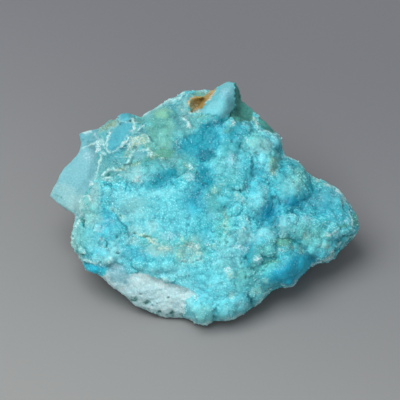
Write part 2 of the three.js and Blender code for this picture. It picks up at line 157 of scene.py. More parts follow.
# Where the show face differs from plain crust: how softly the region ends, in mm, and its ovals as
# [u, v, half length, half width] with a turn in degrees where there is one
regions = {
    # broad tones that run into each other: partly the crust's own tones, partly painted light and painted
    # shade, paler where the lamps light the face less and darker where they light it most
    "azure": (3.2, [
        (-0.5, 16, 7.5, 5, 30), (0, 6, 3, 4.6), (25.5, 0.6, 6, 2.6, 15), (16.8, -3, 3, 4.4),
        (33, -0.5, 5, 3.8, -40), (28.6, 1.6, 2.4, 2.4), (-6.6, 13.4, 1.6, 1.2), (8.6, 14, 3, 2),
        (19.6, 5.4, 1.4, 2.4), (22, -17, 5, 3.4, 30), (9.6, -23.6, 2.6, 1.6, 20), (-18, -12.8, 4, 1.8),
        (-24.4, -4.6, 3, 2.6), (-10.6, 6.6, 4.2, 2.2, 20), (-2.6, 0.6, 3.6, 3.4), (8, 16.6, 3.4, 4),
        (12, -12.4, 2, 3.4, 10), (12.2, 6.4, 2.2, 2.8), (9.6, 10, 2, 1.6), (29.6, -12.4, 2, 1.4),
        (13.6, -9.2, 1.6, 1.8), (19, -20, 2, 1.2), (-26, -12.2, 1.4, 1.2), (-14.6, 18.6, 1.6, 1, -40),
    ]),
    # pale cyan: partly the crust's own pale tone, partly painted light on places that lie in shade
    "ice": (2.6, [
        (-19.4, -1, 4, 4), (-16.6, 7.6, 3, 2.2), (13.2, 14.4, 3.4, 3), (14.8, 11, 2, 3), (6.6, 9.6, 4, 3),
        (13, 1.2, 2.8, 3.2), (0.4, -21, 4.6, 3.2), (-28, -14.2, 3.4, 1.4), (6, -13.4, 3.6, 5),
        (-26.4, 15, 1.4, 1.8, 30), (15, 18, 2.4, 1.2, -10), (21, -5.4, 2.6, 1.8), (-28, -9, 3.4, 4),
        (-22.4, 2, 2.2, 1.6), (16.2, -7.4, 2.4, 1.6), (25, -4.8, 2, 1.6), (34, 0.4, 1.4, 1.8),
        (-21.4, -14.8, 1.6, 0.8, -35), (22, 4.2, 2.4, 3), (-9, -17.4, 6, 2), (10.4, -6, 1.6, 3),
        (-3, -20.4, 4, 2), (-23, -10.6, 2.4, 3), (0.4, -28.4, 7, 1.8), (8, 1.2, 2, 1.4),
        (16.4, 9.4, 1.8, 2.4), (11, -24.6, 3, 2, 30), (26, -8, 2.4, 1.8), (12.4, 7.2, 1.8, 1.4),
        (13, -2, 2, 1.6), (1.6, -3, 1.6, 1.6), (-12, 2.6, 6, 1.2), (20.4, 0.8, 1.6, 0.8),
        (-24.6, -9, 1.6, 1.8), (-24.8, -15.6, 1.8, 1), (21.4, -6.4, 1.4, 1), (17.6, 15, 1.6, 1.6),
        (33, -9.8, 2.8, 1.4, 40), (-14, -18.6, 4, 1, -10), (18, 10.8, 1.4, 2.6), (10.8, 4, 1.6, 1.4),
        (31.4, -12, 1.4, 1.2), (-9, 23.2, 1.6, 1), (18.6, -19, 3, 1, 30), (-5.4, -21.8, 3, 1, -15),
        (4.6, -22.4, 2, 1.4),
    ]),
    "mint": (2.6, [
        (-31, 0.4, 1.8, 2), (-32.6, -9.6, 2.4, 5), (-24.4, 8.4, 4.6, 3.2, 10), (-14.6, 10.6, 4.6, 2.4),
        (-5.4, 9.6, 3.4, 3), (4.8, -6, 2, 5), (11.6, -20.4, 3.4, 4), (27, -9, 5, 3, -25),
        (14.6, -14.6, 3.6, 4), (-4, -12, 5, 4), (-12, -10.4, 4, 2), (12, 16, 2.6, 2.4), (-5, 21, 4, 4),
        (-29.4, -3, 2, 2.4), (9.4, 0.8, 2.2, 1.8), (24, 6.6, 2.4, 2.8), (29, 5.6, 2.2, 1.2, -20),
        (-27, 11, 1.8, 2), (2.2, 1.4, 2.4, 3), (0, -28, 2.4, 2.4),
    ]),
    # darker teal: partly the crust's own greener tone, partly painted shade over the upper left, which the
    # lamps light most
    "sea": (3, [
        (-28.6, 17, 3.4, 2.4, 20), (-24.4, 20.2, 3, 1.6, 30), (-26.4, 9.6, 2.6, 3.4),
        (-16.4, 8.6, 3.6, 1.6, 10), (-9.6, 13, 4, 2.6), (-7.6, 20.4, 3.6, 4.4), (-13, 21, 3, 2.4),
        (-17.4, 19.4, 2.4, 2), (6.4, 21.6, 2.4, 1.4), (2, 23, 2, 1), (7.6, 13.4, 3.4, 3), (5, 7, 3.4, 3.4),
        (19.4, 5.4, 1.8, 3), (-11, 11.6, 3, 2), (-11, -12, 3, 1), (2.6, 1.4, 3, 2.4), (30.4, -6, 2, 1.2),
        (-30, 2, 1.6, 1.6), (20, -10, 2.2, 1.4), (-13.6, -8.4, 3.4, 1.4), (12.8, -13, 2.4, 2),
        (9.4, -20, 2.6, 2), (-29.6, -8, 2, 3.4), (5.6, -17, 3, 2), (-5, 9, 4, 3), (-5, 20.6, 2, 2.4),
        (12, 21.6, 1.6, 1), (10, 13, 2, 1.4), (-2, -12.6, 2, 1.2), (17, -6, 2, 1.4), (1.6, 11.6, 2, 1.4),
        (-16, 18, 3, 1.8),
    ]),
    # grey-green: partly the crust's own tone, partly painted shade over the upper left
    "haze": (4, [
        (-24, 10, 4.6, 4.4), (-10.4, 12.4, 5, 4), (-7, 21.6, 5, 4.6), (-28, 16.6, 5, 4.4), (-16, 17.6, 4, 3),
        (-24, 20, 4, 1.8, 25), (-4.6, 25.4, 2.6, 3, 20), (-29, 2.4, 2.4, 3), (-18, -1, 4, 2.4),
        (28.6, 1.4, 2.4, 1.6), (8, 22, 3, 1),
    ]),
    "pearl": (2, [
        (-5.6, 24.6, 1.6, 1.6, 20), (-18, -9.6, 1.6, 1.2), (-13, 23.4, 4, 1.4, 28), (-2, 22.8, 2.4, 0.9),
        (-13.6, -6, 1.6, 1.6), (-1, -9, 2.4, 1.4), (-1.6, -23.4, 2, 1.6), (-1, 28.4, 3, 1),
        (-28, 2.4, 1.4, 4), (-19, 8, 2.6, 2.6), (-19.4, 15, 1.6, 2), (-17.6, -7, 1.8, 1.6),
        (-33, -8, 1.4, 6.4, 5), (-31.6, -2.6, 1.4, 1.6), (-11.4, -12, 4, 1.6), (-4.4, -12.2, 2.4, 2),
        (-24.4, -12.6, 3.4, 2.2), (-29, -4, 3, 2), (-24, -9.6, 1.6, 2.4), (20, -8, 0.9, 2.4),
        (10, -8.8, 3.4, 1.6), (-4, -24, 1.4, 2.4, 20), (14.6, 14.4, 3.2, 1.8), (-8, 26.4, 3, 0.8, 20),
        (-18, 12, 2.6, 1.4), (-20, 21.2, 8, 1.2, 15),
    ]),
    # bright cyan: partly the crust's own tone, partly painted light in creases that lie in shade
    "cyan": (2, [
        (12.2, 7.6, 2.2, 2.6), (17.5, 1.4, 1.6, 2.2), (14.6, -3.6, 3, 1.4), (17, -2, 1.2, 2), (12, 4, 1.4, 2),
        (16.8, -19, 3, 1.6, 20), (2.6, -28.4, 3, 1.6), (7.6, -28, 2.4, 1.4), (-12.2, 5.2, 3, 1.2, 20),
        (18.6, 12.6, 1.6, 3.2), (34.4, -1, 1.6, 2.2), (8, 1, 2.4, 1, 10), (0, -8, 1.6, 2),
        (14.6, -14.4, 2, 1.4), (-2.8, -1.6, 1.6, 1.2), (24, 1.6, 3, 1.4, 10), (36, -4, 1.4, 1.4),
        (10.8, 7.6, 2.2, 4), (15, -14, 3, 1.6), (10.4, -23.6, 1.2, 1.2), (-27, -12.8, 1.6, 0.9),
        (38, -5.4, 1.2, 2, 20), (1, -18.6, 4, 2), (2, -23.4, 5, 2.6), (7, 1, 3.4, 2, 10),
        (32, -10.6, 4, 1.6, 35), (-25, -8.4, 2.4, 2),
    ]),
    # paler over the lower half of the face, where the lamps light it less: painted light
    "paintedLift": (3, [
        (-12, -17.8, 7, 2.2, -8), (2, -26.6, 10, 4.4), (-22, -13.4, 4, 2, -30), (34, -8, 4, 2.4, 50),
        (-11, -4.6, 8, 4.6), (-4, -16.4, 7, 3), (14, -2, 3, 2.4), (8, 1, 4, 1.6), (28, -12, 5, 2, 30),
        (-6, -21, 5, 2, -15), (6, -19, 6, 4), (13, -22, 4, 4, 40),
    ]),
    # deep blue basins, and small deep blue marks that are painted shade in creases and on the shaded sides of
    # lobes
    "basin": (1.8, [
        (-1.8, 15.4, 4.2, 2.8, 25), (-5.4, 14, 1.6, 1.2), (0.6, 18.4, 2, 1.5), (-0.6, 7.8, 1.1, 2.6, 10),
        (27.4, 3.8, 0.9, 2.8, 15), (12.9, 7.7, 1, 0.6), (-8.6, 7.6, 1.7, 1.2), (-11.6, 5.6, 2, 0.5, 22),
        (7.4, 18, 1, 1.3), (11.2, -13, 0.9, 2.6, -20), (2.6, -27, 0.4, 1.1), (11.8, -25, 0.6, 1.4, 30),
        (34.4, -9.8, 0.9, 1.8, -30), (18.6, 13.8, 0.7, 0.6), (22.4, 9.6, 1.2, 0.8), (0.9, 5.4, 1.1, 0.9),
        (19.8, 9, 0.7, 2.2), (23, -9.6, 1.4, 0.7, -10), (4, 21.8, 1.8, 0.9),
    ]),
    "well": (1, [(0.3, 12.2, 2.2, 1.7)]),
    "green": (2.4, [
        (-11.4, 19, 3.4, 6), (-12.4, 19.2, 2.8, 2.4), (-10.4, 15.6, 1.8, 2.2), (-14, 14.6, 1.4, 1.4),
        (-19.4, 12.4, 1.2, 2), (-16.6, 21.4, 1.6, 1.2), (9, -17.6, 0.8, 1.2), (6.4, 18.6, 1, 0.8),
        (0, 22.2, 1.6, 0.8),
    ]),
    "lime": (1.6, [(-11, 23, 2, 1.3, 10), (-15.8, 16.2, 0.8, 1.3), (17.4, 10.6, 1.2, 2)]),
    "fern": (0.9, [
        (-10.6, 12.6, 2.6, 1.3), (20, -9.8, 2.4, 1), (16.6, -15, 2, 0.7, 10), (-26.8, -17.2, 1.8, 0.7),
        (35.4, -5.8, 1.4, 0.4), (38.7, -4.2, 0.8, 1.8, 20), (-15.2, 12, 0.4, 1),
    ]),
    "olive": (0.6, [
        (-0.8, 28.1, 2.6, 0.8), (-25, 19.9, 2.6, 0.7, 32), (-17.8, 10, 1.7, 0.35, 15), (-21.6, 8.4, 1.1, 0.5),
        (-24, 21.5, 1.2, 0.5, 20), (-15, -8.6, 1, 0.25, -5), (-6.9, -13.7, 0.6, 0.25, 50),
        (-13.6, 11.2, 0.8, 0.25, 20),
    ]),
    "lilac": (0.9, [
        (18.6, 16.6, 1.3, 0.9), (20.6, 0.4, 0.8, 0.5), (25.8, -4.2, 1, 0.7), (6.6, 11, 1, 1.6),
        (-3.9, 6.6, 1.2, 1.2), (-23.9, -4.8, 0.8, 0.6), (-27, -6.6, 1.2, 0.9), (-26.4, -9.2, 0.9, 0.7),
        (-25, 5.8, 1, 0.5), (-17, 6.2, 1.1, 0.8), (13.4, -14.2, 1.2, 1.2), (9.2, -11.6, 1.6, 1),
        (36.4, -4.8, 1, 0.9), (34.4, -8.2, 0.8, 0.7, -30), (8, -28.4, 1, 0.5, 30), (5, -29.8, 1.4, 0.4),
        (2.6, 21.2, 1, 0.5), (-1.7, -14.2, 0.5, 0.7), (13.3, -20, 0.6, 0.5), (-30, 12, 1.3, 1.3),
        (-9, -8.4, 2.4, 0.8), (15.4, 3.2, 0.6, 1.2), (-22.8, -16.6, 2, 1), (-0.4, 28.8, 1.4, 0.4),
        (5.2, 28.2, 1.6, 1.4, 45), (-22.1, 22, 0.4, 0.8),
    ]),
    "rose": (1, [
        (-18.6, 15.5, 2.2, 1.5), (-16.6, 15.6, 1.6, 1.3), (16.8, 8.2, 0.8, 0.7), (-24.8, 5.8, 1, 0.5),
        (-17.2, 6, 1, 0.7), (-26.4, -9.4, 0.8, 0.6), (-10.5, -11.5, 1.2, 0.6), (-4, -10.8, 1.6, 0.9),
        (5.4, -7, 0.5, 0.7), (-3, 23.4, 1, 0.3, 10), (31.2, -8, 0.8, 0.5), (32.4, -12.8, 0.5, 0.9),
        (-13.2, -10, 1.4, 0.7, -20), (35.4, 0.6, 0.7, 1, -20), (-19.6, 13, 0.7, 1.4, -20),
    ]),
    # small pale spots: cream ones with lime in them, one of which lightens the shaded pocket as painted
    # light, and the white ends of crystal sprays, some of them painted glints
    "cream": (0.8, [
        (-17.2, 15.8, 2.2, 1.3, 10), (16.9, 8.4, 0.7, 0.9), (17.6, 10.6, 0.6, 1.2), (21.8, -11.3, 1.2, 0.5),
        (30.4, -10.8, 1.4, 0.6), (25.4, -8.4, 1, 1), (-25.3, -15, 0.6, 0.5), (-33.3, -10.4, 0.5, 2.4, 8),
        (-32.2, -13, 0.7, 0.5), (-16.2, -8, 1.7, 0.4, -8), (-13.4, -9.5, 1.2, 0.7, -30),
        (-10.6, -11.4, 1, 0.6), (-6.4, -12.8, 0.9, 0.9), (-5.4, -9.2, 1.4, 0.6, -40),
        (5.2, -4.6, 0.6, 2.6, 4), (6.2, -18.4, 0.8, 0.8), (6.8, -23.3, 0.8, 0.9), (15.3, -19.5, 0.8, 0.8),
        (13, -22.2, 1.3, 0.8, 20), (1.7, -10.8, 0.7, 0.5), (2.4, 3, 1.1, 0.7, 30),
        (-22.6, -2.4, 2.6, 0.7, -35), (-4.6, 9.2, 0.8, 1.2, 20), (-13.5, 12.4, 1.1, 0.8),
        (-3, 25.2, 1.2, 1.8), (8, 1.6, 1, 0.8), (24.4, -12.2, 0.8, 0.7), (-21, 9, 1.6, 0.3, 10),
        (13.2, 20.8, 0.5, 1.4, 20),
    ]),
    "white": (0.5, [
        (-27.5, 14.6, 0.9, 1.3), (-29.2, 4.9, 0.7, 0.8), (-24.5, 17.9, 0.5, 0.7),
        (-20.3, 16.3, 0.45, 0.9, -30), (-18.2, 18.9, 0.35, 0.7), (-15.4, 22.9, 0.8, 0.45, 30),
        (-14, 12.7, 0.7, 0.6), (-19.5, 15.2, 0.5, 1.2), (-19.7, 10.6, 0.4, 1.1, -20),
        (-11.2, 11.3, 0.7, 0.25, 10), (-5.1, 21.7, 0.7, 0.5), (-4.3, 20, 0.3, 0.9, -20),
        (-3.6, 9.7, 0.5, 1.1, 20), (7.4, 20.4, 0.7, 0.5), (-2.6, 23.5, 1, 0.25, 10), (10.7, 16.2, 0.3, 0.6),
        (16.6, 9.4, 0.6, 0.5), (-7, 14.8, 0.2, 0.9, 30), (27.8, 6.8, 0.8, 0.3, -30), (29, 6, 0.6, 0.6),
        (19, -5.5, 0.6, 0.45), (33, -7.3, 0.7, 0.5), (31, -8.1, 0.7, 0.4), (32.3, -12.8, 0.4, 0.9),
        (25.4, -8.1, 0.6, 0.7), (31.2, -14.2, 0.9, 0.5), (34.3, 2.8, 0.9, 0.3, -40), (19.4, -12, 0.6, 0.5),
        (9.4, 0.6, 0.7, 0.8), (10.8, -4.4, 0.6, 0.8), (8.2, -11.2, 1.3, 0.6), (13.3, -14, 0.8, 0.9),
        (5.4, -17, 0.6, 0.8), (-2.4, -24, 1, 0.6), (-3.9, -23.4, 1, 0.45), (-5.1, -27, 0.4, 1.7),
        (22.7, -20.8, 0.6, 0.4), (-24, -14.7, 0.6, 0.9), (-26, -15.8, 0.8, 0.3), (-32.6, -5.2, 0.35, 0.8),
        (-31, -6.4, 0.6, 0.2), (-31, -12, 0.5, 0.5), (0.9, -10.4, 0.5, 0.5), (-3, -10.7, 1.2, 0.6),
        (-4.4, -14.7, 1.4, 0.35, 5), (-13.4, -16.6, 0.6, 0.5), (9.6, -6.8, 0.6, 0.5), (-26, 7, 0.2, 0.9, -20),
        (-22, 7.2, 0.6, 0.2, 10), (20.4, 13, 0.2, 0.8, 20),
    ]),
    # dark green crystals, bare or in pockets of the chalk
    "moss": (0.4, [
        (-24.8, 7.4, 1.1, 0.6, 35), (-31.1, -4.9, 0.6, 1, 20), (-18.3, -24.5, 1.1, 0.7, 10),
        (-14.9, -25.5, 0.9, 0.6, 20), (-12, -28, 1.1, 0.4, -20), (-15, -27.6, 3, 0.6, -22),
        (-19.4, -24.8, 1.4, 0.8, -30), (-8.6, -28.4, 1.4, 0.4), (36.6, -9.6, 1.6, 0.4, 40),
        (7.4, 22.2, 1.6, 0.5, 15), (-36.9, 1.5, 0.3, 0.4), (-37.9, 1.9, 0.6, 0.3, -30), (-6, -28.6, 0.5, 0.5),
    ]),
    # places where the crust is smooth or has come away
    "plate": (0.3, []),
    "bloom": (2, [(-36.4, 1, 6.4, 3.6, -35)]),
    "ledge": (0.5, []),
    "horn": (0.5, []),
    "oval": (0.3, [(-20.6, 22.3, 1.9, 1.3)]),
    "slate": (0.5, [(-16.7, 12.3, 2, 0.9, 8)]),
    # smooth and deep blue: the lower right swell, the spur of the lower left and the cleft, its blue made
    # brighter where these lie in shade, which is painted light
    "swell": (1.8, [
        (24, -17, 5.2, 3.2, 38), (19, -18.8, 2.6, 1.6, 30), (-28, -16.9, 3.4, 1.2, -5), (16, -2.6, 1.7, 2.4),
        (22.8, 0.4, 2.8, 1, 10),
    ]),
    # the chalky foot with its smooth upper strip, then the pocket with a patch of painted light where it lies
    # in shade, and the dark slope beside the horn
    "chalk": (0.4, []),
    "slip": (1.6, []),
    "litPocket": (0.8, [(-2.9, 25.6, 1.3, 2)]),
    "rust": (0.3, []),
    "slope": (0.4, []),
    # lobes that lie low, and where the lumps on the crust are low
    "settle": (3, [
        (-14, 6.6, 6.5, 3.6, 12), (17, -1.4, 2.4, 5), (12, 6.6, 2.4, 3.6), (13, -3, 2.4, 2),
        (18.4, 12, 1.8, 4), (7, 1, 3, 1.6), (25.2, -8, 2, 2), (22, -11.6, 2.4, 1.6),
    ]),
    "calm": (4, [
        (-12, -2, 14, 7), (-14, -14, 10, 4), (-2, -3, 6, 8), (-10.6, 19, 5, 6), (-24, 11, 5, 4),
        (30, 0, 5, 3, -30), (21, -16, 6, 4, 30),
    ]),
}
# What some of the regions have besides ovals: borders of [u, v]
borders = {
    "plate": [
        [(-45, 1), (-38, 12), (-33, 18), (-31.4, 14), (-29.6, 14.4), (-28.2, 15), (-27.8, 12), (-27.8, 9.4),
         (-28.3, 6.8), (-28.6, 5), (-29.7, 3.9), (-31.8, 1.1), (-32.3, -1), (-33.4, -3.6), (-38, -6)],
    ],
    "ledge": [[(-33, 19), (-28.4, 19), (-26.4, 17.4), (-28.2, 15.6), (-31.4, 14.4), (-33, 14.4)]],
    "horn": [
        [(-2.6, 23.3), (-0.6, 24.6), (1, 26.2), (2.6, 28), (3.1, 29), (5, 33), (7.5, 32), (7.7, 28),
         (7.5, 25.6), (6.4, 23), (4.4, 21.8), (1, 22.6)],
    ],
    "oval": [
        [(-24.4, 13.1), (-25.1, 14.6), (-24.9, 16.4), (-24.1, 18.2), (-22.9, 20), (-21.7, 20.8),
         (-19.2, 20.9), (-18.5, 19.8), (-18.8, 17.7), (-19.9, 17), (-20.7, 16), (-21.6, 14.6), (-22.6, 13.6)],
    ],
    "chalk": [
        [(-25, -17.2), (-19.6, -17.9), (-14.4, -18.1), (-10.2, -19.8), (-4.4, -21.6), (-2.2, -23.2),
         (-4.9, -24.2), (-5.4, -28), (-7, -34), (-24, -30), (-26.4, -20)],
    ],
    "slip": [[(-24.8, -16.4), (-23, -15), (-20, -16.4), (-18.4, -18), (-20, -20.6), (-25, -19.6)]],
    "rust": [
        [(-4.1, 23.3), (-3.7, 27.1), (-2.4, 27.6), (-1, 27.2), (0, 27.8), (1, 29), (1.4, 30.4), (3.1, 30),
         (2.6, 28), (1, 26.4), (-0.6, 24.7), (-1.8, 23.6), (-3, 23)],
    ],
    "slope": [
        [(7.3, 32.4), (10, 33), (14, 26), (12.5, 23), (12.6, 21), (8.8, 20.9), (6, 21.8), (7.5, 24.4),
         (7.8, 28)],
        [(14, 24), (22, 17.6), (18, 17.9), (16.4, 18.2), (14.6, 19.4), (13.9, 20.6)],
    ],
}
# Fine lines on the show face, as paths of [u, v]: pale rims that stand up, partly painted highlights where
# edges catch the light, as along the lower edge, and dark cracks, partly painted shade along creases and
# under the crust's lip
lines = {
    "vein": {"width": 0.3, "rise": 0.24, "whole": 0.95, "paths": [
        [(-24.2, 18.3), (-25, 16.8), (-25.3, 15.2), (-25.2, 13.7), (-24.4, 13), (-23.3, 13), (-22.2, 13.8),
         (-21.2, 14.9), (-20.5, 16), (-20.1, 16.9)], [(-20.3, 21.1), (-19.2, 21.6), (-18.3, 21.5),
         (-18.1, 20), (-18.2, 18.6)], [(-26.6, 13.4), (-26.9, 11.4), (-27.3, 9.4), (-28, 7.4), (-28.4, 5.6),
         (-29.2, 4.6)], [(-31.6, 14.2), (-30.2, 14.5), (-28.8, 15.2), (-28, 15.8)], [(-28.6, 17.8),
         (-27.4, 16.6), (-26.3, 15.6), (-25.7, 14.2)], [(-27.9, 13.2), (-26.9, 13.7), (-25.7, 12.5)],
        [(-19.4, 18.6), (-17.6, 18.4), (-16.8, 19.6), (-15.6, 20)], [(-16.4, 17.6), (-15, 17.2),
         (-14.4, 15.8)], [(-26.2, 7.2), (-25, 8.6), (-23.2, 8.8), (-21.6, 8)], [(-18.6, 13), (-17, 13.6),
         (-15.2, 13.6), (-14.2, 14)], [(-18.8, 12.6), (-19.2, 11.2), (-20, 10.2)], [(-31.9, 18.4),
         (-29.6, 18.6)], [(-15.9, 22.4), (-15, 23), (-14, 23.5), (-12.4, 24.5), (-10.6, 25.9), (-8.8, 26.2),
         (-6.6, 27.2), (-5.2, 28.8)], [(-6, 21.8), (-4.8, 21.4), (-4.2, 19.4)], [(-3.8, 23), (-2.4, 23.6),
         (-1.6, 23.7)], [(0.2, 25.9), (1.4, 27.2), (2.6, 28.7)], [(12.6, 22), (13.3, 20.4), (14, 19.5)],
        [(14.2, 18.6), (15.6, 18.7), (17.2, 17.8), (18.8, 17.5), (19.6, 16.4), (19.7, 15)], [(20.4, 12.2),
         (22.6, 11), (25, 10), (26, 8.8)], [(30.8, 4.8), (33, 4), (34.8, 2.5), (36, 0.8), (37, -1)],
        [(37.2, -2.6), (37.8, -5.2), (37.8, -7.4)], [(38.2, -8.2), (36.2, -9.6), (35.4, -11)],
        [(33.8, -11.2), (34.8, -9.8)], [(32.6, -12), (32.4, -13.6), (31.4, -14.5), (29.8, -14.7),
         (28.4, -15.1), (27.4, -16)], [(19.6, -20.7), (21, -21.2), (22.6, -20.9), (23.3, -19.9)],
        [(16.6, -22), (15, -23), (14, -24.6), (12.8, -26)], [(9.4, -28.1), (7.4, -29), (5.4, -29.6),
         (3.8, -29.4)], [(1.2, -29.9), (0, -30.6), (-1.8, -30.4), (-4.4, -29)], [(-33.7, -8.2),
         (-33.8, -10.4), (-32.8, -12.8), (-31, -14.4), (-29, -15), (-27, -15.2)], [(-31.9, 0.2),
         (-31.2, 1.6), (-29.8, 1.7), (-29.1, 0.7)], [(-31.6, -1.6), (-31.5, -2.8), (-32.6, -4)],
        [(-11, -18.9), (-9, -19.5)], [(-25.6, 6.3), (-23.9, 6.4)],
    ]},
    "crack": {"width": 0.28, "rise": -0.4, "whole": 0.7, "paths": [
        [(-25, -16), (-22.6, -15), (-20.6, -16), (-19.6, -17.8), (-17, -17.8)], [(-29.2, 3.7), (-30.6, 2.2),
         (-31.8, 0.9)], [(-23.6, -2), (-22.2, -3.8), (-20.6, -5.2), (-19.9, -6.8)], [(9, 14.5), (10.1, 13.4),
         (11.6, 12.5), (12.4, 10.2), (12.2, 8.4)], [(17.4, 7.6), (18.2, 6)], [(26, 8), (27.3, 6), (28, 3.6),
         (27.4, 1.4), (25.6, 0.7), (23.4, 0.3)], [(18.4, -3), (17.6, -5.4), (18.6, -7.4), (19, -9.2),
         (21.6, -9.1), (22.6, -9.3), (24.4, -10.8), (26, -12.6), (28, -14.2)], [(5.4, 21.4), (6.5, 22.1),
         (7.4, 23.6)], [(-22.6, 20.9), (-21.8, 20.2)], [(-19.3, 21.2), (-18.7, 21)], [(-28.4, 15.8),
         (-26.2, 17.6)], [(-27.8, 17.3), (-26.2, 15.3)], [(-31.6, 16.2), (-29.8, 16), (-28.8, 15.9)],
        [(-30.8, 17), (-29.2, 17.2), (-28.4, 16.4)], [(-15.2, 18), (-13.8, 17), (-12.8, 15.6),
         (-12.7, 14.4)], [(-20.6, 9.4), (-18.8, 10.3), (-18.4, 11.6)], [(-28, 8.6), (-28.2, 6.8),
         (-28.7, 5.2)], [(-1.8, 8.4), (-1.2, 5.8), (0.4, 4.4)], [(-6.4, 7.8), (-7.4, 6.6)], [(7.2, 3.2),
         (8.8, 2.9), (10.4, 3.9)], [(10.2, -15.4), (10.6, -13), (11.8, -10.6)], [(2.2, -29.4), (2.2, -27.4),
         (3.4, -25.8)], [(12, -26), (11, -23.6)], [(33.4, -12.6), (34, -10.4), (35.2, -8.8), (37.8, -8.1)],
        [(35.4, 0.4), (36.1, -2.2)], [(14.4, -17.4), (15.6, -15.8), (16, -14.6), (18.6, -13.8)],
        [(1.3, 13.6), (1.6, 11.6), (0.8, 10.6)], [(-6, -15.1), (-2.2, -15), (-1, -13.6)], [(19, 7.6),
         (20.2, 11.6)],
    ]},
}
# Round knobs of the crust, by their radius: [u, v]
knobs = {
    0.9: [(18.8, -3.2), (-3.7, 9.8)],
    1: [(18.4, -14.6), (-5.4, 23.6)],
    1.1: [(13.7, 9.3), (9.7, 12), (29.8, 5), (19, -1.2), (31.9, -12.2), (37, -6.6), (-10.2, -18.8),
        (-21.4, -14.8), (-14, 12.6)],
    1.2: [(8.4, 18.6), (16.7, 8.6), (17.8, 12.4), (10.9, 8.2), (35.4, -7), (14.6, -18.2), (1.6, -24.8),
        (5.2, -4.4), (-27.2, 3.3), (-24.2, -14.4), (-11.2, 7.8), (-5, 26.4), (-7.2, 24.4), (-8.6, 14.6)],
    1.3: [(11.6, -0.6), (28.2, 6), (15.4, -19.9), (6.8, -23.2), (4.8, -24.6), (21.3, -20.3), (-2.9, -23.4),
        (7.2, -6.2), (5.4, -8.4), (6.6, -10), (-31.4, -12.4), (-5.8, 8.6), (-6.4, 10.8), (-4.4, 20.4)],
    1.4: [(4, 18.4), (2.6, 10.4), (5.6, 2.8), (2.4, 3), (14, 2.2), (23, -1.4), (33, -6.4), (30.6, -11),
        (27.4, -12.2), (34.6, -3.6), (36.4, -5), (30.6, 3.4), (14, -10), (13, -5.4), (23.2, -11.7),
        (-1, -29), (-3.7, -25.4), (4, -15.4), (3.2, -12.8), (9.2, 0.9), (10.2, -4.6), (3.2, -8.4),
        (-22.9, -3.4), (-32.4, -9.4), (-26, -12.4), (-28, -14), (-29.6, -4), (-20.6, -9.6), (-19.8, 6.4),
        (-24.6, 3.2), (-6.6, 18)],
    1.5: [(14.4, 13), (8.6, 16), (11.4, 6.2), (15.4, 4.4), (19.6, 1.5), (20.2, 3.8), (22.6, -4.2),
        (24.2, -7.4), (31, -8.4), (28.4, -10.2), (30, -13), (13.7, -24.6), (1.6, -19.6), (0.8, -14.8),
        (7.8, -1.6), (4.6, 0.4), (-30.6, 0.4), (-24.6, -7.2), (-27.5, -6.7)],
    1.6: [(10.9, 19.4), (15.2, 17.7), (15.6, 15.2), (14.2, 11), (7.6, 14), (12.9, 4.6), (25, 4.2),
        (25.8, -8.9), (29.6, -4.4), (26.4, -1.4), (13.6, -14.4), (13.4, -16.6), (12.6, -19.4), (6.4, -12.6),
        (6, -17.4), (7.2, -20.2), (9.2, -27), (2.6, -21.8), (-2.4, -19.4), (9.2, -7.4), (2, -3.6),
        (-23, -11), (-27.6, -1.4), (-12.8, 8.7), (-22, 4.8), (-9, 8.6), (-8.4, 20.4)],
    1.7: [(18.2, 16.2), (16.9, 10.6), (12.2, 1.6), (21.2, 5.6), (23.5, 6.2), (24.4, 8.2), (28.4, -7),
        (34, 0.4), (16.4, -9.3), (13.2, -22.2), (0.4, -17.4), (-5.6, -17.4), (-15.2, 8.2), (-13.4, 20.4),
        (-10.4, 15.6)],
    1.8: [(5.6, 16.4), (4.4, 13.4), (3.4, 8.4), (19.5, 6.6), (21.4, 8.4), (32.2, -3.4), (28.8, 0.2),
        (14.8, -7.6), (16.6, -12.4), (8.6, -13.6), (0.2, -27.2), (-13, -16.2), (-28.4, -11.6), (-4.2, 6.4)],
    1.9: [(13.8, -0.4), (-2.4, -26.8), (-22.8, -6), (-10.6, 18)],
    2: [(6.4, 20.8), (7, 11), (9.4, 9.4), (4.6, 5.4), (22.4, 3.2), (31.6, 1.2), (8.8, -11), (24.6, -15.6),
        (-9.4, -16), (-16.8, -15.4), (-25.2, -4.4), (-17.4, 7.4)],
    2.1: [(25.2, -4.6)],
    2.2: [(8.4, 5.4), (20.6, -6.1), (20.5, -11), (9.8, -16.8), (10.2, -23.2), (18, -18), (-11, 22.8),
        (-17, 15.7)],
    2.3: [(12.4, 15.3), (-30, -8.8)],
    2.4: [(6, -27.6)],
    2.6: [(6.6, 7.8), (21, -15.6)],
}
# A pale broken ring low on the face: its middle, half length and half width, and how thick it is
brokenRing = {"at": (-4.2, -12.5), "half": (2.6, 2.5), "width": 0.34}
